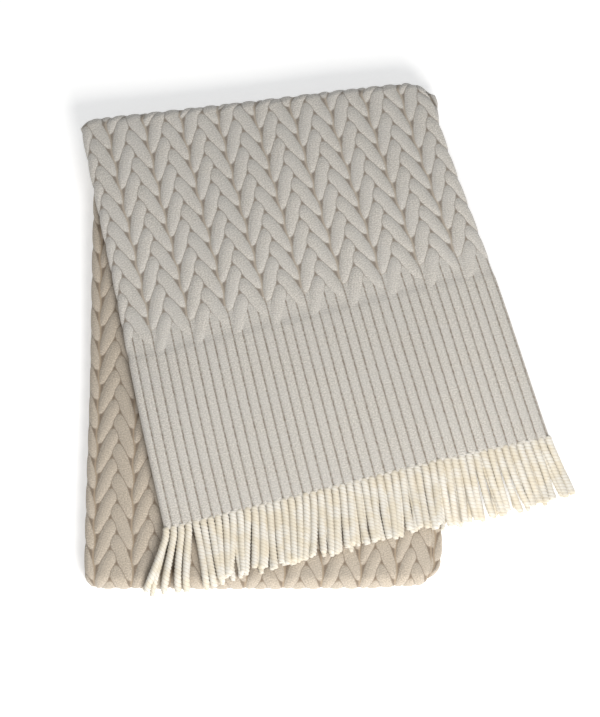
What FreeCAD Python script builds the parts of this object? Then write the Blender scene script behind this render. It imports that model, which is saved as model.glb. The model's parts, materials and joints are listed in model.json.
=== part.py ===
import FreeCAD, Part
import math
import os

# Folded throw blanket: one length of thick cable-knit cloth with a ribbed border and a
# twisted fringe at each end.  It is folded in thirds across its width, which makes a strip
# of three plies, and the strip is folded in three along its length, like a Z:
#   lower section  -> near fold -> middle section -> far fold -> top flap.
# The far crease is a little oblique, so the flap swings to the right of the stack below.
#
# Millimetres.  +X right, +Y away from the fringe of the flap, +Z up.
# Origin: centre of the underside of the lower section.

# ---- driving dimensions: the cloth ------------------------------------------------------
cloth_width = 1270.0
ply_thickness = 4.2
ply_gap = 0.4
least_section_gap = 0.4
selvedge_inset = 13.1
border_length = 222.0

# ---- driving dimensions: how it is folded -----------------------------------------------
lower_length = 479.0
middle_length = 597.5
flap_length = 500.0
crease_angle = 7.2
fold_skew = 15.3
flap_crease_spread = 4.0
flap_hem_spread = 41.0
overhang_droop = 10.5
overhang_clearance = 0.5

# ---- driving dimensions: the fringe -----------------------------------------------------
tassel_length = 80.0
tassel_diameter = 5.4
tassel_spacing = 0.43
tassel_clearance = 0.3
hem_clearance = 0.8

# ---- sizes that follow from them --------------------------------------------------------
X_AXIS = FreeCAD.Vector(1, 0, 0)
Y_AXIS = FreeCAD.Vector(0, 1, 0)
Z_AXIS = FreeCAD.Vector(0, 0, 1)
RIGHT_ANGLE = 90.0
HALF_TURN = 180.0
TOUCHING = 1e-6

section_height = 3 * ply_thickness + 2 * ply_gap
row_step = max(
    (section_height - tassel_diameter) / 2 - tassel_clearance,
    (tassel_diameter + tassel_clearance) / 2,
)
fringe_height = 2 * row_step + tassel_diameter + 2 * tassel_clearance
section_gap = least_section_gap + fringe_height - section_height
section_step = section_height + section_gap
wide_bend = 1.5 * ply_thickness + ply_gap
narrow_bend = ply_thickness + ply_gap / 2
bend_cloth = 1.5 * math.pi * (ply_thickness + ply_gap)
strip_width = (
    cloth_width + 3 * wide_bend + narrow_bend + 2 * selvedge_inset - bend_cloth
) / 3
near_y = -lower_length / 2
crease_y = near_y + middle_length
hem_y = lower_length / 2
tassel_radius = tassel_diameter / 2
tassel_reach = tassel_diameter + tassel_spacing
tassel_pitch = 2 * math.sqrt(max(tassel_reach**2 - row_step**2, (tassel_reach / 2) ** 2))
flap_z = 2 * section_step
droop_x = strip_width / 2 + overhang_clearance


def point(x, y, z):
    return FreeCAD.Vector(x, y, z)


class LetterFold:
    """The cross-section of the strip, from one free edge of the cloth to the other.

    The under ply runs from its free edge, near the right, to the wide bend on the left.
    From there the clean face runs back to the narrow bend on the right, and the inner ply
    ends between the two others.
    """

    def __init__(self, width):
        self.left = -width / 2 + wide_bend
        self.right = width / 2 - narrow_bend
        clean_face = self.right - self.left
        free_ply = (cloth_width - clean_face - bend_cloth) / 2
        self.under_edge = self.left + free_ply
        self.inner_edge = self.right - free_ply

    def outline(self, y, clean_face_up=True):
        """The closed outline at y, standing on z = 0."""
        t = ply_thickness
        g = ply_gap
        top = section_height
        middle = top / 2
        pocket = 2 * t + 1.5 * g

        def at(x, z):
            return point(x, y, z if clean_face_up else top - z)

        def line(a, b):
            return Part.LineSegment(a, b).toShape()

        def arc(a, b, c):
            return Part.Arc(a, b, c).toShape()

        left_outside = at(self.left - wide_bend, middle)
        left_inside = at(self.left - t / 2 - g, middle)
        right_outside = at(self.right + narrow_bend, pocket)
        right_inside = at(self.right + g / 2, pocket)
        return Part.Wire(
            [
                line(at(self.under_edge, 0), at(self.left, 0)),
                arc(at(self.left, 0), left_outside, at(self.left, top)),
                line(at(self.left, top), at(self.right, top)),
                arc(at(self.right, top), right_outside, at(self.right, t + g)),
                line(at(self.right, t + g), at(self.inner_edge, t + g)),
                line(at(self.inner_edge, t + g), at(self.inner_edge, 2 * t + g)),
                line(at(self.inner_edge, 2 * t + g), at(self.right, 2 * t + g)),
                arc(at(self.right, 2 * t + g), right_inside, at(self.right, 2 * (t + g))),
                line(at(self.right, 2 * (t + g)), at(self.left, 2 * (t + g))),
                arc(at(self.left, 2 * (t + g)), left_inside, at(self.left, t)),
                line(at(self.left, t), at(self.under_edge, t)),
                line(at(self.under_edge, t), at(self.under_edge, 0)),
            ]
        )

    def rows(self):
        """Left edge, right edge and height of the fringe row on each ply."""
        middle = fringe_height / 2
        left = self.left - wide_bend
        right = self.right + narrow_bend
        return {
            "outer": (left, right, middle + row_step),
            "inner": (self.inner_edge, right, middle),
            "under": (left, self.under_edge, middle - row_step),
        }


def straight_strip(fold, start_y, end_y, clean_face_up=True):
    """A straight length of the strip between two values of y."""
    face = Part.Face(fold.outline(start_y, clean_face_up))
    return face.extrude(point(0, end_y - start_y, 0))


def half_space(centre, angle):
    """A large block on the far side of an upright plane through centre."""
    reach = 2 * (middle_length + flap_length + strip_width)
    block = Part.makeBox(2 * reach, reach, 2 * reach)
    block.translate(point(-reach, 0, -reach))
    block.rotate(point(0, 0, 0), Z_AXIS, angle)
    block.translate(centre)
    return block


def droop(solid):
    """Let what lies past the right edge of the stack hang down from that edge."""
    edge = point(droop_x, 0, flap_z)
    right_side = half_space(edge, -RIGHT_ANGLE)
    level = solid.cut(right_side)
    hanging = solid.common(right_side)
    cut_faces = [face for face in hanging.Faces if on_droop_plane(face)]
    wedges = [face.revolve(edge, Y_AXIS, overhang_droop) for face in cut_faces]
    hanging.rotate(edge, Y_AXIS, overhang_droop)
    return level.fuse(wedges + [hanging]).removeSplitter().Solids[0]


def on_droop_plane(face):
    box = face.BoundBox
    return abs(box.XMin - droop_x) < TOUCHING and abs(box.XMax - droop_x) < TOUCHING


def face_on_plane(solid, centre, normal):
    """The face of a solid that lies nearest to the plane through centre."""

    def distance(face):
        return abs((face.CenterOfMass - centre).dot(normal))

    return min(solid.Faces, key=distance)


def tassel():
    """One twisted tassel that hangs along -Y from the origin, with a rounded tip."""
    shaft = tassel_length - tassel_radius
    root = point(0, 0, 0)
    rim = point(tassel_radius, 0, 0)
    shoulder = point(tassel_radius, -shaft, 0)
    half = tassel_radius * math.sqrt(0.5)
    bulge = point(half, -shaft - half, 0)
    tip = point(0, -tassel_length, 0)
    edges = [
        Part.LineSegment(root, rim).toShape(),
        Part.LineSegment(rim, shoulder).toShape(),
        Part.Arc(shoulder, bulge, tip).toShape(),
        Part.LineSegment(tip, root).toShape(),
    ]
    return Part.Face(Part.Wire(edges)).revolve(root, Y_AXIS, 360)


def tassel_row(left, right, height, offset):
    """Tassels on a fixed pitch between two edges; offset shifts the pitch between rows."""
    row = []
    one = tassel()
    first = math.ceil((left + tassel_radius) / tassel_pitch - offset)
    last = math.floor((right - tassel_radius) / tassel_pitch - offset)
    for place in range(first, last + 1):
        copy = one.copy()
        copy.translate(point((place + offset) * tassel_pitch, 0, height))
        row.append(copy)
    return Part.Compound(row)


def fringe(fold, prefix, place):
    """The three rows of tassels at one end of the cloth, each put where place says."""
    offsets = {"outer": 0.0, "inner": 0.5, "under": 0.0}
    rows = {}
    for name, (left, right, height) in fold.rows().items():
        row = tassel_row(left, right, height, offsets[name])
        rows[prefix + name + "_row"] = place(row, height)
    return rows


def save(nodes):
    os.makedirs("parts", exist_ok=True)
    for name, shape in nodes.items():
        shape.exportStep("parts/" + name + ".step")


nodes = {}

# ---- lower section: cable-knit panel, then the ribbed border that is hidden in the stack
strip = LetterFold(strip_width)
border_y = hem_y - border_length
nodes["lower_cable_panel"] = straight_strip(strip, near_y, border_y)
nodes["lower_ribbed_border"] = straight_strip(strip, border_y, hem_y)


def place_rear(row, height):
    row = row.mirror(point(0, 0, 0), Y_AXIS)
    row.translate(point(0, hem_y, 0))
    return row


nodes.update(fringe(strip, "rear_fringe_", place_rear))

# ---- near fold: the strip turns back over itself about a level axis at the near end
near_axis = point(0, near_y, section_height + section_gap / 2)
nodes["near_fold"] = Part.Face(strip.outline(near_y)).revolve(
    near_axis, point(-1, 0, 0), HALF_TURN
)

# ---- middle section: lies on the lower one and ends at the oblique far crease
crease = point(0, crease_y, 2 * section_step - section_gap / 2)
overrun = strip_width
middle = straight_strip(strip, near_y, crease_y + overrun, clean_face_up=False)
middle.translate(point(0, 0, section_step))
nodes["middle_section"] = middle.cut(half_space(crease, crease_angle)).Solids[0]

# ---- top flap: made along -Y with the crease at its head, then swung by twice the angle
crease_line = point(
    math.cos(math.radians(crease_angle)), math.sin(math.radians(crease_angle)), 0
)
crease_normal = Z_AXIS.cross(crease_line)
flap_origin = crease - crease_line * fold_skew


def flap_fold(distance):
    """The strip's section at a distance from the crease; it spreads towards the hem."""
    share = distance / flap_length
    spread = flap_crease_spread + share * (flap_hem_spread - flap_crease_spread)
    return LetterFold(strip_width + spread)


def swing(shape):
    shape.rotate(point(0, 0, 0), Z_AXIS, 2 * crease_angle)
    shape.translate(point(flap_origin.x, flap_origin.y, flap_z))
    return shape


def flap_length_between(start, end):
    wires = [flap_fold(start).outline(-start), flap_fold(end).outline(-end)]
    return swing(Part.makeLoft(wires, True, True))


lead = strip_width / 4
flap_border_start = flap_length - border_length
flap_panel = flap_length_between(-lead, flap_border_start)
flap_panel = flap_panel.cut(half_space(flap_origin, crease_angle)).Solids[0]
nodes["flap_cable_panel"] = droop(flap_panel)
nodes["flap_ribbed_border"] = droop(flap_length_between(flap_border_start, flap_length))

# ---- far fold: the flap's end face turned about the crease down to the middle section
crease_face = face_on_plane(flap_panel, flap_origin, crease_normal)
nodes["far_fold"] = crease_face.revolve(flap_origin, -crease_line, HALF_TURN)


# ---- front fringe: hangs from the hem of the flap
def place_front(row, height):
    """Tassels past the edge of the stack hang with the flap, the lowest row first."""
    lag = tassel_pitch / 2 * (height - fringe_height / 2) / row_step
    placed = []
    for one in row.Solids:
        root = swing(Part.Vertex(one.BoundBox.Center.x, -flap_length, 0)).Point
        one.translate(point(0, -flap_length - hem_clearance, 0))
        swing(one)
        if root.x > droop_x + lag:
            one.rotate(point(droop_x, 0, flap_z), Y_AXIS, overhang_droop)
        placed.append(one)
    return Part.Compound(placed)


nodes.update(fringe(flap_fold(flap_length), "front_fringe_", place_front))

save(nodes)
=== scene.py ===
import json
import math

import bpy
import numpy as np
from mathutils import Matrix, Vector


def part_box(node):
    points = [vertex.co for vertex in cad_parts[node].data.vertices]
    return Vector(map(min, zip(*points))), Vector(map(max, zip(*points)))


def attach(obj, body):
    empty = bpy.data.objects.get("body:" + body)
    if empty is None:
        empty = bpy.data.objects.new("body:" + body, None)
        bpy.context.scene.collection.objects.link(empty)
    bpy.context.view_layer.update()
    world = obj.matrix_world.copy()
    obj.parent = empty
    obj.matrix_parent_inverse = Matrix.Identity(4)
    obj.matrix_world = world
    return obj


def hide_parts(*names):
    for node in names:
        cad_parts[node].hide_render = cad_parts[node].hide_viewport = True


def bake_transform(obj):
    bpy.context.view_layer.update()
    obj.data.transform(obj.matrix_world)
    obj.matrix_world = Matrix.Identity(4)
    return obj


# Folded throw blanket.  One length of cable-knit cloth is folded in thirds across its width
# and in three along its length.  The cloth is made from its flat pattern: u runs across it
# from the free edge of the under ply, v runs along it from the rear hem.  Metres throughout.

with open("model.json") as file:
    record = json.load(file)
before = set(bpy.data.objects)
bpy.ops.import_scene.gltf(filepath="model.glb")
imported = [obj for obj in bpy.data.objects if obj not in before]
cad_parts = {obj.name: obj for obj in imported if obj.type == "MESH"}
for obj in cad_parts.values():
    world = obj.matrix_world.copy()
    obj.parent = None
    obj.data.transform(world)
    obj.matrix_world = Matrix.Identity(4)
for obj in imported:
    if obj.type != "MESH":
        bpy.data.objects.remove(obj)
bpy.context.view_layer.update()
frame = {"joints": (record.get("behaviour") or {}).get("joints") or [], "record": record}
joints = {joint["name"]: joint for joint in frame["joints"]}
mm = 0.001

# ---- sizes of the cloth and its folds, taken from the CAD where it holds them -----------
cloth_width = 1270 * mm
ply = 4.2 * mm
ply_gap = 0.4 * mm
crease_spread = 4 * mm
hem_spread = 41 * mm
right_hem_spread = 18 * mm
droop_angle = math.radians(10.5)
droop_softness = 14 * mm
near_right_radius = 36 * mm
near_left_radius = 20 * mm
far_right_radius = 38 * mm
far_left_radius = 14 * mm
near_right_inward = 6 * mm
near_right_back = 4 * mm
tassel_length = 80 * mm
tassel_width = {"outer_row": 9.3 * mm, "inner_row": 6.6 * mm, "under_row": 7.0 * mm}
tassel_pitch = 9.0109 * mm
cad_tassel_width = 5.4 * mm
hem_overlap = 3 * mm

panel_low, panel_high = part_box("lower_cable_panel")
border_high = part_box("lower_ribbed_border")[1]
middle_low, middle_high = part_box("middle_section")
strip_width = panel_high.x - panel_low.x
section_height = panel_high.z - panel_low.z
near_y = panel_low.y
hem_y = border_high.y
middle_z = middle_low.z
near_axis_z = joints["near_fold_hinge"]["pos_m"][2]
far_axis = Vector(joints["far_fold_hinge"]["pos_m"])
crease = -Vector(joints["far_fold_hinge"]["axis"])
crease_angle = math.atan2(crease.y, crease.x)
crease_out = Vector((-crease.y, crease.x, 0))
flap_origin = Vector((far_axis.x, far_axis.y, 0))
hem_centre = Vector(joints["front_fringe_hinge"]["pos_m"])
flap_length = (hem_centre.xy - flap_origin.xy).length
flap_z = 2 * far_axis.z - middle_high.z
crease_skew = flap_origin.x / math.cos(crease_angle)
crease_y = flap_origin.y - flap_origin.x * math.tan(crease_angle)
border_length = hem_y - panel_high.y
droop_x = strip_width / 2 + 0.5 * mm

wide_bend = 1.5 * ply + ply_gap
narrow_bend = ply + ply_gap / 2
left_bend_length = math.pi * (ply + ply_gap)
right_bend_length = left_bend_length / 2
fold_reach = near_axis_z
fold_length = math.pi * (near_axis_z - ply / 2)

near_v = hem_y - near_y
middle_v = near_v + fold_length
far_v = middle_v + crease_y - near_y
flap_v = far_v + fold_length
cloth_length = flap_v + flap_length
pattern_turn_v = far_v - 28 * mm
hem_width = strip_width + hem_spread

# ---- the knit ---------------------------------------------------------------------------
column = 45.36 * mm
rib = column / 4
strand_period = 37.5 * mm
strand_half_length = 31 * mm
strand_half_width = 8.5 * mm
strand_inset = -1.5 * mm
strand_taper = 0.2
strand_tilt = math.radians(21)
row_offset = 10.6 * mm
cable_depth = 2.4 * mm
rib_depth = 1.5 * mm
last_strand = 16 * mm
groove_shade = 3.0 * mm
relief_seam = 0.9
shader_seam = 0.45
rim_width = 2.4 * mm
rim_thickness = 0.35


class Value:
    """A shader socket that takes part in arithmetic, so one formula serves arrays and shaders."""

    def __init__(self, tree, socket):
        self.tree = tree
        self.socket = socket

    def math(self, operation, *others):
        node = self.tree.nodes.new("ShaderNodeMath")
        node.operation = operation
        for place, value in enumerate((self, *others)):
            if isinstance(value, Value):
                self.tree.links.new(value.socket, node.inputs[place])
            else:
                node.inputs[place].default_value = float(value)
        return Value(self.tree, node.outputs[0])

    def __add__(self, other):
        return self.math("ADD", other)

    def __sub__(self, other):
        return self.math("SUBTRACT", other)

    def __mul__(self, other):
        return self.math("MULTIPLY", other)

    def __truediv__(self, other):
        return self.math("DIVIDE", other)

    def __neg__(self):
        return self * -1.0

    def __rsub__(self, other):
        return -self + other

    __radd__ = __add__
    __rmul__ = __mul__


def floor(x):
    return x.math("FLOOR") if isinstance(x, Value) else np.floor(x)


def size(x):
    return x.math("ABSOLUTE") if isinstance(x, Value) else np.abs(x)


def root(x):
    return x.math("SQRT") if isinstance(x, Value) else np.sqrt(x)


def larger(x, y):
    return x.math("MAXIMUM", y) if isinstance(x, Value) else np.maximum(x, y)


def smaller(x, y):
    return x.math("MINIMUM", y) if isinstance(x, Value) else np.minimum(x, y)


def above(x, level):
    """1 where x is above level, otherwise 0."""
    return x.math("GREATER_THAN", level) if isinstance(x, Value) else (x > level) * 1.0


def ramp(x, low, high):
    """A smooth step from 0 at low to 1 at high."""
    t = smaller(larger((x - low) / (high - low), 0.0), 1.0)
    return t * t * (3.0 - 2.0 * t)


def strand(across, along):
    """The highest strand at a place in one row: its squared height and the place on it,
    lengthwise and sideways, and the squared height of the next highest.

    across is the distance from the row's line, outwards from the column's centre, and
    along is the distance down the row, from the middle of its last strand.
    """
    sine = math.sin(strand_tilt)
    cosine = math.cos(strand_tilt)
    nearest = floor((along - across * (cosine / sine)) / strand_period)
    found = []
    for step in (0.0, 1.0):
        centre = (nearest + step) * strand_period
        down = along - centre
        lengthwise = (across * sine + down * cosine + strand_inset) / strand_half_length
        sideways = (across * cosine - down * sine) / strand_half_width
        blunt = lengthwise * lengthwise
        narrow = sideways / (1.0 - strand_taper * lengthwise)
        height = 1.0 - blunt * blunt - narrow * narrow - 2.0 * above(centre, 0.5 * mm)
        found.append((height, lengthwise, sideways))
    return higher(*found, 0.0, 0.0)


def higher(first, second, first_next, second_next):
    """The higher of two strands, with the height of the next highest one after it."""
    on_first = above(first[0] - second[0], 0.0)
    on_second = 1.0 - on_first
    following = larger(smaller(first[0], second[0]), 0.0)
    return (
        larger(first[0], second[0]),
        first[1] * on_first + second[1] * on_second,
        first[2] * on_first + second[2] * on_second,
        larger(larger(following, first_next), second_next),
    )


def knit(u, v, seam_width):
    """The knit at a place on the cloth.

    Gives the relief, the height of the cable strands, the height of the ribs, 1 where the
    ribs show, the distance to the groove between two columns, and the place across and
    along the row of stitches there.
    """
    from_turn = size(v - pattern_turn_v)
    on_flap = above(v, pattern_turn_v)
    front_start = cloth_length - pattern_turn_v - border_length
    rear_start = pattern_turn_v - border_length
    start = rear_start + on_flap * (front_start - rear_start)
    place = u / column
    across = (place - floor(place) - 0.5) * column
    to_groove = column / 2 - size(across)
    along = from_turn - start + last_strand
    half = strand_period / 2
    left = strand(-1.0 * across - row_offset, along)
    right = strand(across - row_offset, along + half)
    top, lengthwise, sideways, following = higher(left[:3], right[:3], left[3], right[3])
    seam = ramp(top - following, 0.0, seam_width)
    tail = ramp(to_groove, 0.0, 2.4 * mm)
    cable = root(larger(top, 0.0)) * (0.35 + 0.65 * seam) * (0.45 + 0.55 * tail)
    rib_place = u / rib
    rib_across = rib_place - floor(rib_place) - 0.5
    flat_rib = 1.0 - ramp(size(rib_across), 0.28, 0.5)
    in_border = 0.5 * ramp(along, -16 * mm, 0.0) + 0.5 * ramp(along, 14 * mm, 28 * mm)
    rib_share = rib_depth / cable_depth
    ribbed = in_border * (1.0 - rib_share + flat_rib * rib_share)
    relief = larger(larger(cable, 0.3 * ramp(to_groove, 0.0, groove_shade)), ribbed)
    on_rib = above(in_border * 0.75 - cable, 0.0)
    stitch_across = sideways * strand_half_width * (1.0 - on_rib) + rib_across * rib * on_rib
    stitch_along = lengthwise * strand_half_length * (1.0 - on_rib) + from_turn * on_rib
    return relief, cable, flat_rib, on_rib, to_groove, stitch_across, stitch_along


# ---- the letter fold: the cross-section of the strip ------------------------------------
def cross_section(under_step, face_step, inner_step):
    """Samples across the cloth: pattern u, place across, its change with width, height, normal."""
    left = -strip_width / 2 + wide_bend
    right = strip_width / 2 - narrow_bend
    face = right - left
    free = (cloth_width - face - left_bend_length - right_bend_length) / 2
    samples = []

    def add(length, step, count, shape):
        count = count or 4 * round(length / step / 4)
        start = samples[-1][0] if samples else 0.0
        for k in range(0 if not samples else 1, count + 1):
            samples.append((start + length * k / count, *shape(k / count)))

    def under(f):
        return left + free * (1 - f), -0.5 - (1 - f) / 2, ply / 2, 0.0, -1.0

    def wide(f):
        turn = math.pi * f
        radius = ply + ply_gap
        sine, cosine = math.sin(turn), math.cos(turn)
        return left - radius * sine, -0.5, section_height / 2 - radius * cosine, -sine, -cosine

    def clean(f):
        return left + face * f, -0.5 + f, section_height - ply / 2, 0.0, 1.0

    def narrow(f):
        turn = math.pi * f
        radius = (ply + ply_gap) / 2
        sine, cosine = math.sin(turn), math.cos(turn)
        middle = 2 * ply + 1.5 * ply_gap
        return right + radius * sine, 0.5, middle + radius * cosine, sine, cosine

    def inner(f):
        return right - free * f, 0.5 + f / 2, 1.5 * ply + ply_gap, 0.0, -1.0

    add(free, under_step, 0, under)
    add(left_bend_length, 0, 12, wide)
    add(face, face_step, 0, clean)
    add(right_bend_length, 0, 8, narrow)
    add(free, inner_step, 0, inner)
    return np.array(samples).T


section_u, section_x, section_spread, section_h, section_nx, section_nh = cross_section(
    2.6 * mm, 1.9 * mm, 13 * mm
)


def rows_between(start, end, step):
    return np.linspace(start, end, 4 * round((end - start) / step / 4) + 1)


def ripple(x, y, seed, wavelength):
    """Smooth waves between about -1 and 1."""
    source = np.random.default_rng(seed)
    total = 0.0
    for angle, phase, stretch in zip(
        source.uniform(0, math.pi, 5), source.uniform(0, 2 * math.pi, 5), source.uniform(0.7, 1.5, 5)
    ):
        wave = 2 * math.pi * stretch / wavelength
        total = total + np.sin(wave * (x * math.cos(angle) + y * math.sin(angle)) + phase)
    return total / 3


def round_corner(across, out, edge, reach, radius):
    """Pull the square corner at (edge, reach) in to a quarter circle; edge may be negative."""
    side = 1.0 if edge > 0 else -1.0
    p = np.clip((side * across - (abs(edge) - radius)) / radius, 0, 1)
    q = np.clip((out - (reach - radius)) / radius, 0, 1)
    across = across - side * radius * p * (1 - np.sqrt(1 - q * q / 2))
    out = out - radius * q * (1 - np.sqrt(1 - p * p / 2))
    return across, out


def near_right(x, y):
    """The near right corner of the stack is drawn in a little."""
    share = ramp(x, 100 * mm, 210 * mm) * ramp(-y, 60 * mm, 240 * mm)
    return x - near_right_inward * share, y + near_right_back * share


def in_stack(x, y, z):
    x, y = near_right(x, y)
    lift = z / flap_z
    x = x + 1.6 * mm * ripple(x, y, 11, 0.34) * lift
    y = y + 1.2 * mm * ripple(x, y, 12, 0.3) * lift
    z = z + 1.3 * mm * ripple(x, y, 13, 0.22) * lift
    return x, y, z


def near_corners(x, out):
    x, out = round_corner(x, out, strip_width / 2, fold_reach, near_right_radius)
    return round_corner(x, out, -strip_width / 2, fold_reach, near_left_radius)


def put_lower(x, v, h):
    out = v - near_v
    x, out = near_corners(x, out)
    return in_stack(x, near_y - out, h)


def put_near_fold(x, v, h):
    turn = (v - near_v) / fold_length * math.pi
    radius = near_axis_z - h
    out = radius * np.sin(turn)
    x, out = near_corners(x, out)
    return in_stack(x, near_y - out, near_axis_z - radius * np.cos(turn))


def put_middle(x, v, h):
    out = middle_v - v
    x, out = near_corners(x, out)
    y = near_y - out
    far_out = (y - crease_y - x * math.tan(crease_angle)) * math.cos(crease_angle)
    x, far_out = far_corners(x, far_out)
    y = crease_y + x * math.tan(crease_angle) + far_out / math.cos(crease_angle)
    return in_stack(x, y, middle_z + section_height - h)


def far_corners(x, out):
    side = strip_width / 2 + crease_spread / 2
    x, out = round_corner(x, out, side, fold_reach, far_right_radius)
    return round_corner(x, out, -side, fold_reach, far_left_radius)


def put_far_fold(x, v, h):
    share = (v - far_v) / fold_length
    turn = share * math.pi
    radius = far_axis.z - middle_z - section_height + h
    x, out = far_corners(x, radius * np.sin(turn))
    along = x / math.cos(crease_angle) + crease_skew * (share - 1)
    place = [flap_origin[k] + crease[k] * along + crease_out[k] * out for k in (0, 1)]
    z = far_axis.z - radius * np.cos(turn)
    return settle(place[0], place[1], z)


def put_flap(x, v, h):
    w = v - flap_v
    out = -(w - x * math.tan(crease_angle)) * math.cos(crease_angle)
    x, out = far_corners(x, out)
    w = x * math.tan(crease_angle) - out / math.cos(crease_angle)
    x = x + 1.5 * mm * ripple(x, w, 21, 0.4) * ramp(w, 0.0, 0.1)
    turn = 2 * crease_angle
    across = flap_origin.x + x * math.cos(turn) + w * math.sin(turn)
    along = flap_origin.y + x * math.sin(turn) - w * math.cos(turn)
    return settle(across, along, flap_z + h)


def settle(x, y, z):
    """Lay the flap over the stack: it follows the stack's top and droops past its right edge."""
    past = x - droop_x
    hang = (np.sqrt(past * past + droop_softness**2) + past) / 2
    wave = 1.3 * mm * ripple(np.minimum(x, droop_x), y, 13, 0.22)
    height = np.clip((z - middle_z) / (flap_z - middle_z), 0, 1)
    z = z + wave * height - hang * math.sin(droop_angle)
    return x - hang * (1 - math.cos(droop_angle)), y, z


def spread_at(v):
    """How much wider than the strip the cloth lies at v."""
    fold = np.clip((v - far_v) / fold_length, 0, 1) * crease_spread
    flap = np.clip((v - flap_v) / flap_length, 0, 1) * (hem_spread - crease_spread)
    return fold + flap


def right_spread(v):
    """How much further the flap's right half spreads out towards its hem."""
    return right_hem_spread * ramp(v, flap_v, cloth_length)


def build_grid():
    """Outer and inner surface of the whole cloth, with the row where each part starts."""
    border_v = cloth_length - border_length
    slope = math.tan(crease_angle)
    parts = [
        ("lower_ribbed_border", rows_between(0, border_length, 3.2 * mm), put_lower),
        ("lower_cable_panel", rows_between(border_length, near_v, 3.2 * mm), put_lower),
        ("near_fold", rows_between(near_v, middle_v, 1.6 * mm), put_near_fold),
        ("middle_section", rows_between(middle_v, far_v, 2.9 * mm), put_middle),
        ("far_fold", rows_between(far_v, flap_v, 1.6 * mm), put_far_fold),
        ("flap_cable_panel", rows_between(flap_v, border_v, 1.8 * mm), put_flap),
        ("flap_ribbed_border", rows_between(border_v, cloth_length, 1.8 * mm), put_flap),
    ]
    outer, inner, pattern, ranges = [], [], [], {}
    count = 0
    for name, rows, put in parts:
        v = rows[:, None] + 0 * section_u[None, :]
        base_x = section_x[None, :] + section_spread[None, :] * spread_at(v)
        base_x = base_x + np.maximum(section_spread[None, :], 0) * right_spread(v)
        if name == "middle_section":
            v = v + base_x * slope * (rows[:, None] - middle_v) / (far_v - middle_v)
        if name == "flap_cable_panel":
            v = v + base_x * slope * (v[-1:, :] - v) / (v[-1:, :] - v[:1, :])
        pattern_v = v + base_x * slope if name == "far_fold" else v
        u = section_u[None, :] + 0 * v
        relief = knit(u, pattern_v, relief_seam)[0]
        ends = np.minimum(v, cloth_length - v)
        edges = np.minimum(u, cloth_width - u)
        rim = np.sqrt(np.clip(np.minimum(ends, edges) / rim_width, 0.0, 1.0))
        rim = rim_thickness + (1 - rim_thickness) * rim
        up = (ply / 2 - cable_depth * (1 - relief)) * rim
        down = -ply / 2 * rim
        surfaces = []
        for offset in (up, down):
            x = base_x + section_nx * offset
            h = section_h + section_nh * offset
            surfaces.append(np.stack(put(x, v, h), axis=-1))
        skip = 1 if outer else 0
        outer.append(surfaces[0][skip:])
        inner.append(surfaces[1][skip:])
        pattern.append(np.stack([u, pattern_v], axis=-1)[skip:])
        ranges[name] = (count, count + len(rows) - 1)
        count += len(rows) - 1
    return np.concatenate(outer), np.concatenate(inner), np.concatenate(pattern), ranges


def grid_normals(grid):
    normals = np.cross(np.gradient(grid, axis=0), np.gradient(grid, axis=1))
    return normals / np.maximum(np.linalg.norm(normals, axis=-1, keepdims=True), 1e-12)


def cloth_faces(rows, columns):
    """Faces of a closed slab: a fine outer grid, an inner grid four times coarser, four walls."""
    outer = np.arange(rows * columns).reshape(rows, columns)
    inner_rows, inner_columns = (rows - 1) // 4 + 1, (columns - 1) // 4 + 1
    inner = rows * columns + np.arange(inner_rows * inner_columns).reshape(inner_rows, inner_columns)
    quads = [
        np.stack([outer[:-1, :-1], outer[:-1, 1:], outer[1:, 1:], outer[1:, :-1]], -1).reshape(-1, 4),
        np.stack([inner[:-1, :-1], inner[1:, :-1], inner[1:, 1:], inner[:-1, 1:]], -1).reshape(-1, 4),
    ]
    walls = []
    for edge, lining, forward in (
        (outer[0], inner[0], False),
        (outer[-1], inner[-1], True),
        (outer[:, 0], inner[:, 0], True),
        (outer[:, -1], inner[:, -1], False),
    ):
        for k in range(len(lining) - 1):
            run = edge[4 * k : 4 * k + 5]
            if forward:
                walls.append([*run, lining[k + 1], lining[k]])
            else:
                walls.append([*run[::-1], lining[k], lining[k + 1]])
    return np.concatenate(quads), np.array(walls)


def make_mesh(name, points, faces, uv, normals=None):
    """A mesh object from points, a list of face arrays of equal sides each, and uv per point."""
    mesh = bpy.data.meshes.new(name)
    loops = np.concatenate([f.ravel() for f in faces]).astype(np.int32)
    sides = np.concatenate([np.full(len(f), f.shape[1]) for f in faces])
    starts = np.concatenate([[0], np.cumsum(sides)[:-1]]).astype(np.int32)
    mesh.vertices.add(len(points))
    mesh.vertices.foreach_set("co", points.astype(np.float32).ravel())
    mesh.loops.add(len(loops))
    mesh.loops.foreach_set("vertex_index", loops)
    mesh.polygons.add(len(starts))
    mesh.polygons.foreach_set("loop_start", starts)
    mesh.update(calc_edges=True)
    mesh.polygons.foreach_set("use_smooth", np.ones(len(starts), bool))
    layer = mesh.uv_layers.new(name="cloth")
    layer.data.foreach_set("uv", uv[loops].astype(np.float32).ravel())
    if normals is not None:
        mesh.normals_split_custom_set_from_vertices(normals.astype(np.float32))
    thing = bpy.data.objects.new(name, mesh)
    bpy.context.scene.collection.objects.link(thing)
    return thing


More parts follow.
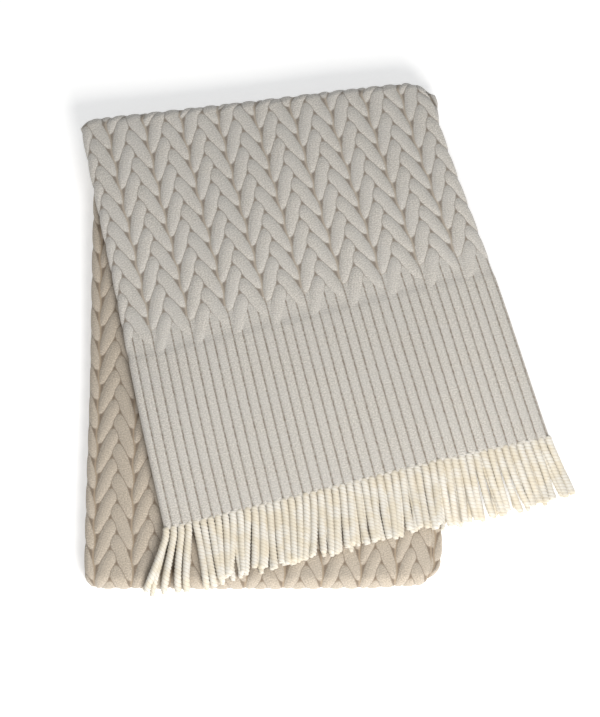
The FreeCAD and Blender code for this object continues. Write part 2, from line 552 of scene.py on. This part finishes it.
def make_cloth():
    """Every piece of cloth, cut from one grid so that neighbours share points and normals."""
    outer, inner, pattern, ranges = build_grid()
    toward = np.sum(grid_normals(outer) * (outer - inner), axis=-1).mean()
    sign = 1.0 if toward > 0 else -1.0
    outer_normals = grid_normals(outer) * sign
    inner_normals = grid_normals(inner) * -sign
    made = {}
    for name, (start, end) in ranges.items():
        own = slice(start, end + 1)
        coarse = slice(start, end + 1, 4)
        points = np.concatenate([outer[own].reshape(-1, 3), inner[coarse, ::4].reshape(-1, 3)])
        normals = np.concatenate(
            [outer_normals[own].reshape(-1, 3), inner_normals[coarse, ::4].reshape(-1, 3)]
        )
        uv = np.concatenate([pattern[own].reshape(-1, 2), pattern[coarse, ::4].reshape(-1, 2)])
        quads, walls = cloth_faces(end - start + 1, outer.shape[1])
        if sign > 0:
            quads, walls = quads[:, ::-1], walls[:, ::-1]
        made[name] = make_mesh(name + "_cloth", points, [quads, walls], uv, normals)
    return made


# ---- the fringe -------------------------------------------------------------------------
def twisted_tube(line, width, turns, phase):
    """Points and uv of a two-ply yarn along a line of points, and its ring size."""
    ring = 12
    steps = len(line)
    tangent = np.gradient(line, axis=0)
    tangent /= np.linalg.norm(tangent, axis=1, keepdims=True)
    side = np.cross(tangent, (0.0, 0.0, 1.0))
    side /= np.linalg.norm(side, axis=1, keepdims=True)
    up = np.cross(side, tangent)
    share = np.linspace(0, 1, steps)[:, None]
    angle = np.linspace(0, 2 * math.pi, ring, endpoint=False)[None, :]
    lobe = 0.76
    offset = 0.24
    spin = 2 * math.pi * turns * share + phase
    relative = angle - spin
    profile = offset * np.abs(np.cos(relative)) + np.sqrt(
        lobe**2 - (offset * np.sin(relative)) ** 2
    )
    body = np.clip(share / 0.02, 0.75, 1) * (1 - 0.25 * np.clip((share - 0.94) / 0.06, 0, 1) ** 2)
    radius = width / 2 * profile * body
    points = (
        line[:, None, :]
        + side[:, None, :] * (radius * np.cos(angle))[..., None]
        + up[:, None, :] * (radius * np.sin(angle))[..., None]
    )
    uv = np.stack([relative / (2 * math.pi), share * tassel_length + 0 * angle], axis=-1)
    return points, uv, ring


def tube_mesh(name, tubes):
    """One mesh of many tubes, closed at both ends."""
    points, uvs, quads, caps = [], [], [], []
    count = 0
    for grid, uv, ring in tubes:
        steps = len(grid)
        index = count + np.arange(steps * ring).reshape(steps, ring)
        after = np.roll(index, -1, axis=1)
        quads.append(
            np.stack([index[:-1], after[:-1], after[1:], index[1:]], -1).reshape(-1, 4)[:, ::-1]
        )
        caps += [index[0], index[-1][::-1]]
        points.append(grid.reshape(-1, 3))
        uvs.append(uv.reshape(-1, 2))
        count += steps * ring
    faces = [np.concatenate(quads), np.array(caps)]
    return make_mesh(name, np.concatenate(points), faces, np.concatenate(uvs))


def fringe_rows(width):
    """Left and right limit, height and shift of the tassels on each ply."""
    left = -width / 2 + wide_bend
    right = width / 2 - narrow_bend
    free = (cloth_width - (right - left) - left_bend_length - right_bend_length) / 2
    step = (section_height - cad_tassel_width) / 2 - 0.3 * mm
    middle = section_height / 2
    return {
        "outer_row": (-width / 2, width / 2, middle + step, 0.0),
        "inner_row": (right - free, width / 2, middle, 0.5),
        "under_row": (-width / 2, left + free, middle - step, 0.0),
    }


def tassel_places(left, right, shift):
    half = cad_tassel_width / 2
    first = math.ceil((left + half) / tassel_pitch - shift)
    last = math.floor((right - half) / tassel_pitch - shift)
    return [(k + shift) * tassel_pitch for k in range(first, last + 1)]


def support_height(x, y):
    """Height of what lies under the flap's fringe: the stack, its rounded edges, the floor."""
    top = middle_z + section_height
    edge_y = near_y + near_right_back * ramp(x, 100 * mm, 210 * mm)
    past = max(edge_y - y, 0.0)
    inside = max(0.0, 1 - (past / fold_reach) ** 2)
    round_top = near_axis_z + near_axis_z * math.sqrt(inside) if past < fold_reach else 0.0
    side = ramp(np.float64(strip_width / 2 - x), -2 * mm, 8 * mm)
    return min(top, round_top) * side


def front_splay(share):
    """Degrees that a tassel splays to the right, from -1 at the hem's left end to 1."""
    splay = -9 + 9 * share + 21 * max(share - 0.45, 0)
    if share < -0.86:
        splay -= 14 * (-0.86 - share) / 0.14
    elif share < -0.62:
        splay += 16 * (-0.62 - share) / 0.24
    return splay


def front_tassel(across, height, row, source):
    """The line of one tassel from the flap's hem: it splays near the corners and droops."""
    splay = front_splay(across / hem_width * 2)
    splay += source.normal(0, 1.7 if row == "outer_row" else 3.5)
    splay = math.radians(splay)
    turn = 2 * crease_angle
    bend = source.normal(0, 0.10)
    length = tassel_length * source.uniform(0.93, 1.04)
    steps = 56
    start_w = flap_length - hem_overlap
    widened = across + right_hem_spread * max(across / hem_width, 0)
    base = np.array(settle(*flap_point(widened, start_w), flap_z + height))
    spacing = length / (steps - 1)
    line = [base]
    lift = {"outer_row": 5.0, "inner_row": 3.0, "under_row": 0.3}[row] * mm
    slope = 0.0
    for k in range(1, steps):
        s = k * spacing
        angle = turn + splay * min(1.0, s / (16 * mm)) + bend * (s / length) ** 2
        here = line[-1]
        step_x, step_y = math.sin(angle) * spacing, -math.cos(angle) * spacing
        x, y = here[0] + step_x, here[1] + step_y
        rest = support_height(x, y) + tassel_width[row] / 2 + lift * math.exp(-s / (45 * mm))
        free = here[2] - spacing * min(1.1, 0.06 + s * 7.0)
        if here[0] > droop_x:
            free = here[2] - spacing * (math.tan(droop_angle) + s * 2.2)
        line.append(np.array([x, y, max(free, rest)]))
    return smoothed(np.array(line))


def smoothed(line):
    out = line.copy()
    for _ in range(6):
        out[1:-1] = (out[:-2] + 2 * out[1:-1] + out[2:]) / 4
    return out


def flap_point(x, w):
    turn = 2 * crease_angle
    return (
        flap_origin.x + x * math.cos(turn) + w * math.sin(turn),
        flap_origin.y + x * math.sin(turn) - w * math.cos(turn),
    )


def make_front_fringe():
    made = {}
    source = np.random.default_rng(5)
    for row, (left, right, height, shift) in fringe_rows(hem_width).items():
        tubes = []
        for across in tassel_places(left, right, shift):
            line = front_tassel(across, height, row, source)
            tubes.append(twisted_tube(line, tassel_width[row], 9, source.uniform(0, 6.28)))
        made["front_fringe_" + row] = tube_mesh("front_fringe_" + row + "_yarn", tubes)
    return made


def make_rear_fringe():
    made = {}
    source = np.random.default_rng(6)
    for row, (left, right, height, shift) in fringe_rows(strip_width).items():
        tubes = []
        for across in tassel_places(left, right, shift):
            sway = source.normal(0, 0.03)
            s = np.linspace(-hem_overlap, tassel_length * source.uniform(0.93, 1.0), 30)
            x = across + sway * np.maximum(s, 0)
            drop = min(height - 3 * mm, 0.25 * mm)
            z = height - drop * ramp(s, 0, 60 * mm)
            line = np.stack(in_stack(x, hem_y + s, z + 0 * s), axis=-1)
            tubes.append(twisted_tube(line, 5.2 * mm, 8, source.uniform(0, 6.28)))
        made["rear_fringe_" + row] = tube_mesh("rear_fringe_" + row + "_yarn", tubes)
    return made


# ---- materials --------------------------------------------------------------------------
def new_material(name):
    material = bpy.data.materials.new(name)
    material.use_nodes = True
    tree = material.node_tree
    shader = tree.nodes["Principled BSDF"]
    return material, tree, shader


def noise(tree, vector, scale, detail, roughness=0.5):
    node = tree.nodes.new("ShaderNodeTexNoise")
    node.inputs["Scale"].default_value = scale
    node.inputs["Detail"].default_value = detail
    node.inputs["Roughness"].default_value = roughness
    tree.links.new(vector, node.inputs["Vector"])
    return Value(tree, node.outputs["Fac"])


def mixed(tree, share, first, second):
    """A colour between two: each is a colour, or the socket of one."""
    node = tree.nodes.new("ShaderNodeMix")
    node.data_type = "RGBA"
    tree.links.new(share.socket, node.inputs["Factor"])
    for place, colour in (("A", first), ("B", second)):
        socket = [s for s in node.inputs if s.name == place and s.type == "RGBA"][0]
        if isinstance(colour, tuple):
            socket.default_value = (*colour, 1.0)
        else:
            tree.links.new(colour, socket)
    return [s for s in node.outputs if s.type == "RGBA"][0]


def multiplied(tree, first, second):
    """The product of two colour sockets."""
    node = tree.nodes.new("ShaderNodeMix")
    node.data_type = "RGBA"
    node.blend_type = "MULTIPLY"
    node.inputs["Factor"].default_value = 1.0
    for place, colour in (("A", first), ("B", second)):
        socket = [s for s in node.inputs if s.name == place and s.type == "RGBA"][0]
        tree.links.new(colour, socket)
    return [s for s in node.outputs if s.type == "RGBA"][0]


def knit_material(name):
    material, tree, shader = new_material(name)
    source = tree.nodes.new("ShaderNodeUVMap")
    source.uv_map = "cloth"
    split = tree.nodes.new("ShaderNodeSeparateXYZ")
    tree.links.new(source.outputs["UV"], split.inputs[0])
    u = Value(tree, split.outputs["X"])
    v = Value(tree, split.outputs["Y"])
    fuzz = noise(tree, source.outputs["UV"], 900, 2)
    wobble = noise(tree, source.outputs["UV"], 260, 2)
    waver = (wobble - 0.5) * (1.6 * mm)
    place = knit(u + waver, v + waver, shader_seam)
    relief, cable, flat_rib, on_rib, to_groove, across, along = place
    stitch = 3.3 * mm
    rise = 2.9 * mm
    lane = across / stitch
    lane = size(lane - floor(lane) - 0.5)
    phase = along / rise + lane * 0.9
    phase = size(phase - floor(phase) - 0.5)
    loops = (1.0 - 2.0 * phase) * (0.35 + 1.3 * lane) * ramp(relief, 0.05, 0.35)
    height = relief * 1.1 + loops * 0.45 + fuzz * 0.7
    bump = tree.nodes.new("ShaderNodeBump")
    bump.inputs["Strength"].default_value = 0.9
    bump.inputs["Distance"].default_value = 1.0 * mm
    tree.links.new(height.socket, bump.inputs["Height"])
    tree.links.new(bump.outputs["Normal"], shader.inputs["Normal"])

    patches = noise(tree, source.outputs["UV"], 24, 3)
    heather = noise(tree, source.outputs["UV"], 560, 4, 0.7)
    # Painted shade: the valley and seam colours darken the groove between columns and the seams
    # between strands, where shade falls.
    painted_valley_shade = (0.43, 0.37, 0.3)
    seam = (0.22, 0.185, 0.15)
    light = (0.70, 0.67, 0.62)
    grey = (0.46, 0.44, 0.405)
    yarn = mixed(tree, ramp(heather, 0.4, 0.6), grey, light)
    tone = mixed(tree, ramp(patches, 0.35, 0.65) * 0.3, yarn, (0.58, 0.57, 0.55))
    low = mixed(tree, ramp(to_groove, 0.8 * mm, 3.0 * mm), painted_valley_shade, seam)
    on_cable = mixed(tree, ramp(cable, -0.1, 0.55), low, tone)
    dots = noise(tree, source.outputs["UV"], 300, 1)
    # Painted shade: the grooves between ribs take the dark seam colour.
    ribs_with_painted_shade = mixed(tree, ramp(flat_rib, 0.0, 0.6), seam, tone)
    dotted = mixed(tree, ramp(dots, 0.35, 0.62) * 0.45, ribs_with_painted_shade, tone)
    border = mixed(tree, on_rib, on_cable, dotted)
    # Painted shade: the gaps between stitch loops are darkened towards the valley colour.
    loops_with_painted_shade = mixed(tree, (1.0 - ramp(loops, 0.0, 0.45)) * 0.3, border, painted_valley_shade)
    # Painted shade: the stack below the flap (middle section, near fold and under ply) is painted
    # darker and browner, as if lit less than the flap.
    stack_painted_shade_share = 1.0 - ramp(v, far_v - 100 * mm, far_v - 30 * mm)
    painted_stack_shade = mixed(tree, stack_painted_shade_share, (1.0, 1.0, 1.0), (0.83, 0.76, 0.675))
    shade = multiplied(tree, loops_with_painted_shade, painted_stack_shade)
    tree.links.new(shade, shader.inputs["Base Color"])
    shader.inputs["Roughness"].default_value = 0.92
    shader.inputs["Specular IOR Level"].default_value = 0.15
    shader.inputs["Sheen Weight"].default_value = 0.25
    shader.inputs["Sheen Roughness"].default_value = 0.6
    return material


def yarn_material(name):
    material, tree, shader = new_material(name)
    source = tree.nodes.new("ShaderNodeUVMap")
    source.uv_map = "cloth"
    split = tree.nodes.new("ShaderNodeSeparateXYZ")
    tree.links.new(source.outputs["UV"], split.inputs[0])
    turn = Value(tree, split.outputs["X"])
    coordinates = tree.nodes.new("ShaderNodeTexCoord")
    fibre = noise(tree, coordinates.outputs["Object"], 700, 3)
    patch = noise(tree, coordinates.outputs["Object"], 60, 2)
    # Painted shade: the twist grooves between the two plies are painted in the darker tan colour.
    groove = (turn * (2 * math.pi)).math("COSINE")
    groove = ramp(size(groove), -0.2, 0.5)
    cream = (0.655, 0.605, 0.50)
    white = (0.70, 0.685, 0.64)
    tan = (0.50, 0.43, 0.32)
    tone = mixed(tree, ramp(patch, 0.35, 0.65), cream, white)
    tone = mixed(tree, ramp(fibre, 0.3, 0.7) * 0.3, tone, (0.74, 0.66, 0.52))
    yarn_with_twist_shade = mixed(tree, groove, tan, tone)
    tree.links.new(yarn_with_twist_shade, shader.inputs["Base Color"])
    height = fibre * 0.6
    bump = tree.nodes.new("ShaderNodeBump")
    bump.inputs["Strength"].default_value = 0.6
    bump.inputs["Distance"].default_value = 0.5 * mm
    tree.links.new(height.socket, bump.inputs["Height"])
    tree.links.new(bump.outputs["Normal"], shader.inputs["Normal"])
    shader.inputs["Roughness"].default_value = 0.9
    shader.inputs["Specular IOR Level"].default_value = 0.15
    shader.inputs["Sheen Weight"].default_value = 0.3
    return material


# ---- build it ---------------------------------------------------------------------------
cable_knit = knit_material("cable_knit_cloth")
fringe_yarn = yarn_material("fringe_twisted_yarn")
cloth = make_cloth()
yarn = {**make_rear_fringe(), **make_front_fringe()}
body_of_node = {n: b for b, ns in frame["record"]["behaviour"]["bodies"].items() for n in ns}

for node, thing in {**cloth, **yarn}.items():
    knitted = node in cloth
    thing.data.materials.append(cable_knit if knitted else fringe_yarn)
    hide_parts(node)
    if node == "near_fold":
        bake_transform(thing)
    elif node == "far_fold":
        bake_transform(thing)
    else:
        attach(thing, body_of_node[node])

lengths = {
    "lower_ribbed_border": border_length,
    "lower_cable_panel": near_v - border_length,
    "near_fold": math.pi * section_height / 2,
    "middle_section": far_v - middle_v,
    "far_fold": math.pi * section_height / 2,
    "flap_cable_panel": flap_length - border_length,
    "flap_ribbed_border": border_length,
}

# ---- stage ------------------------------------------------------------------------------
floor_mesh = bpy.data.meshes.new("floor")
reach = 12.0
corners = [(-reach, -reach, 0), (reach, -reach, 0), (reach, reach, 0), (-reach, reach, 0)]
floor_mesh.from_pydata(corners, [], [(0, 1, 2, 3)])
floor_thing = bpy.data.objects.new("floor", floor_mesh)
bpy.context.scene.collection.objects.link(floor_thing)
paper, _, paper_shader = new_material("paper")
paper_shader.inputs["Base Color"].default_value = (0.94, 0.94, 0.94, 1)
paper_shader.inputs["Emission Color"].default_value = (1.0, 1.0, 1.0, 1)
paper_shader.inputs["Emission Strength"].default_value = 0.35
paper_shader.inputs["Roughness"].default_value = 0.9
floor_mesh.materials.append(paper)


def soft_light(name, place, target, energy, width, colour):
    data = bpy.data.lights.new(name, "AREA")
    data.energy = energy
    data.size = width
    data.color = colour
    lamp = bpy.data.objects.new(name, data)
    lamp.location = place
    lamp.rotation_euler = (Vector(target) - Vector(place)).to_track_quat("-Z", "Y").to_euler()
    bpy.context.scene.collection.objects.link(lamp)


soft_light("key", (0.5, -1.2, 1.05), (0, 0, 0), 29, 0.8, (1.0, 0.975, 0.94))
soft_light("back", (0.3, 2.4, 1.6), (0, 0, 0), 4, 1.6, (0.6, 0.8, 1.0))

world = bpy.data.worlds.new("studio")
world.use_nodes = True
world.node_tree.nodes["Background"].inputs["Color"].default_value = (1, 1, 1, 1)
world.node_tree.nodes["Background"].inputs["Strength"].default_value = 0.45
bpy.context.scene.world = world

camera_data = bpy.data.cameras.new("camera")
camera_data.sensor_fit = "HORIZONTAL"
camera_data.sensor_width = 36
camera_data.lens = 150
camera = bpy.data.objects.new("camera", camera_data)
target = Vector((41.5 * mm, 38.5 * mm, 0))
elevation = math.radians(73)
back = Vector((0, -math.cos(elevation), math.sin(elevation)))
camera.location = target + back * 3.08
camera.rotation_euler = (-back).to_track_quat("-Z", "Y").to_euler()
bpy.context.scene.collection.objects.link(camera)
bpy.context.scene.camera = camera
bpy.context.scene.view_settings.view_transform = "Standard"

bpy.context.view_layer.update()
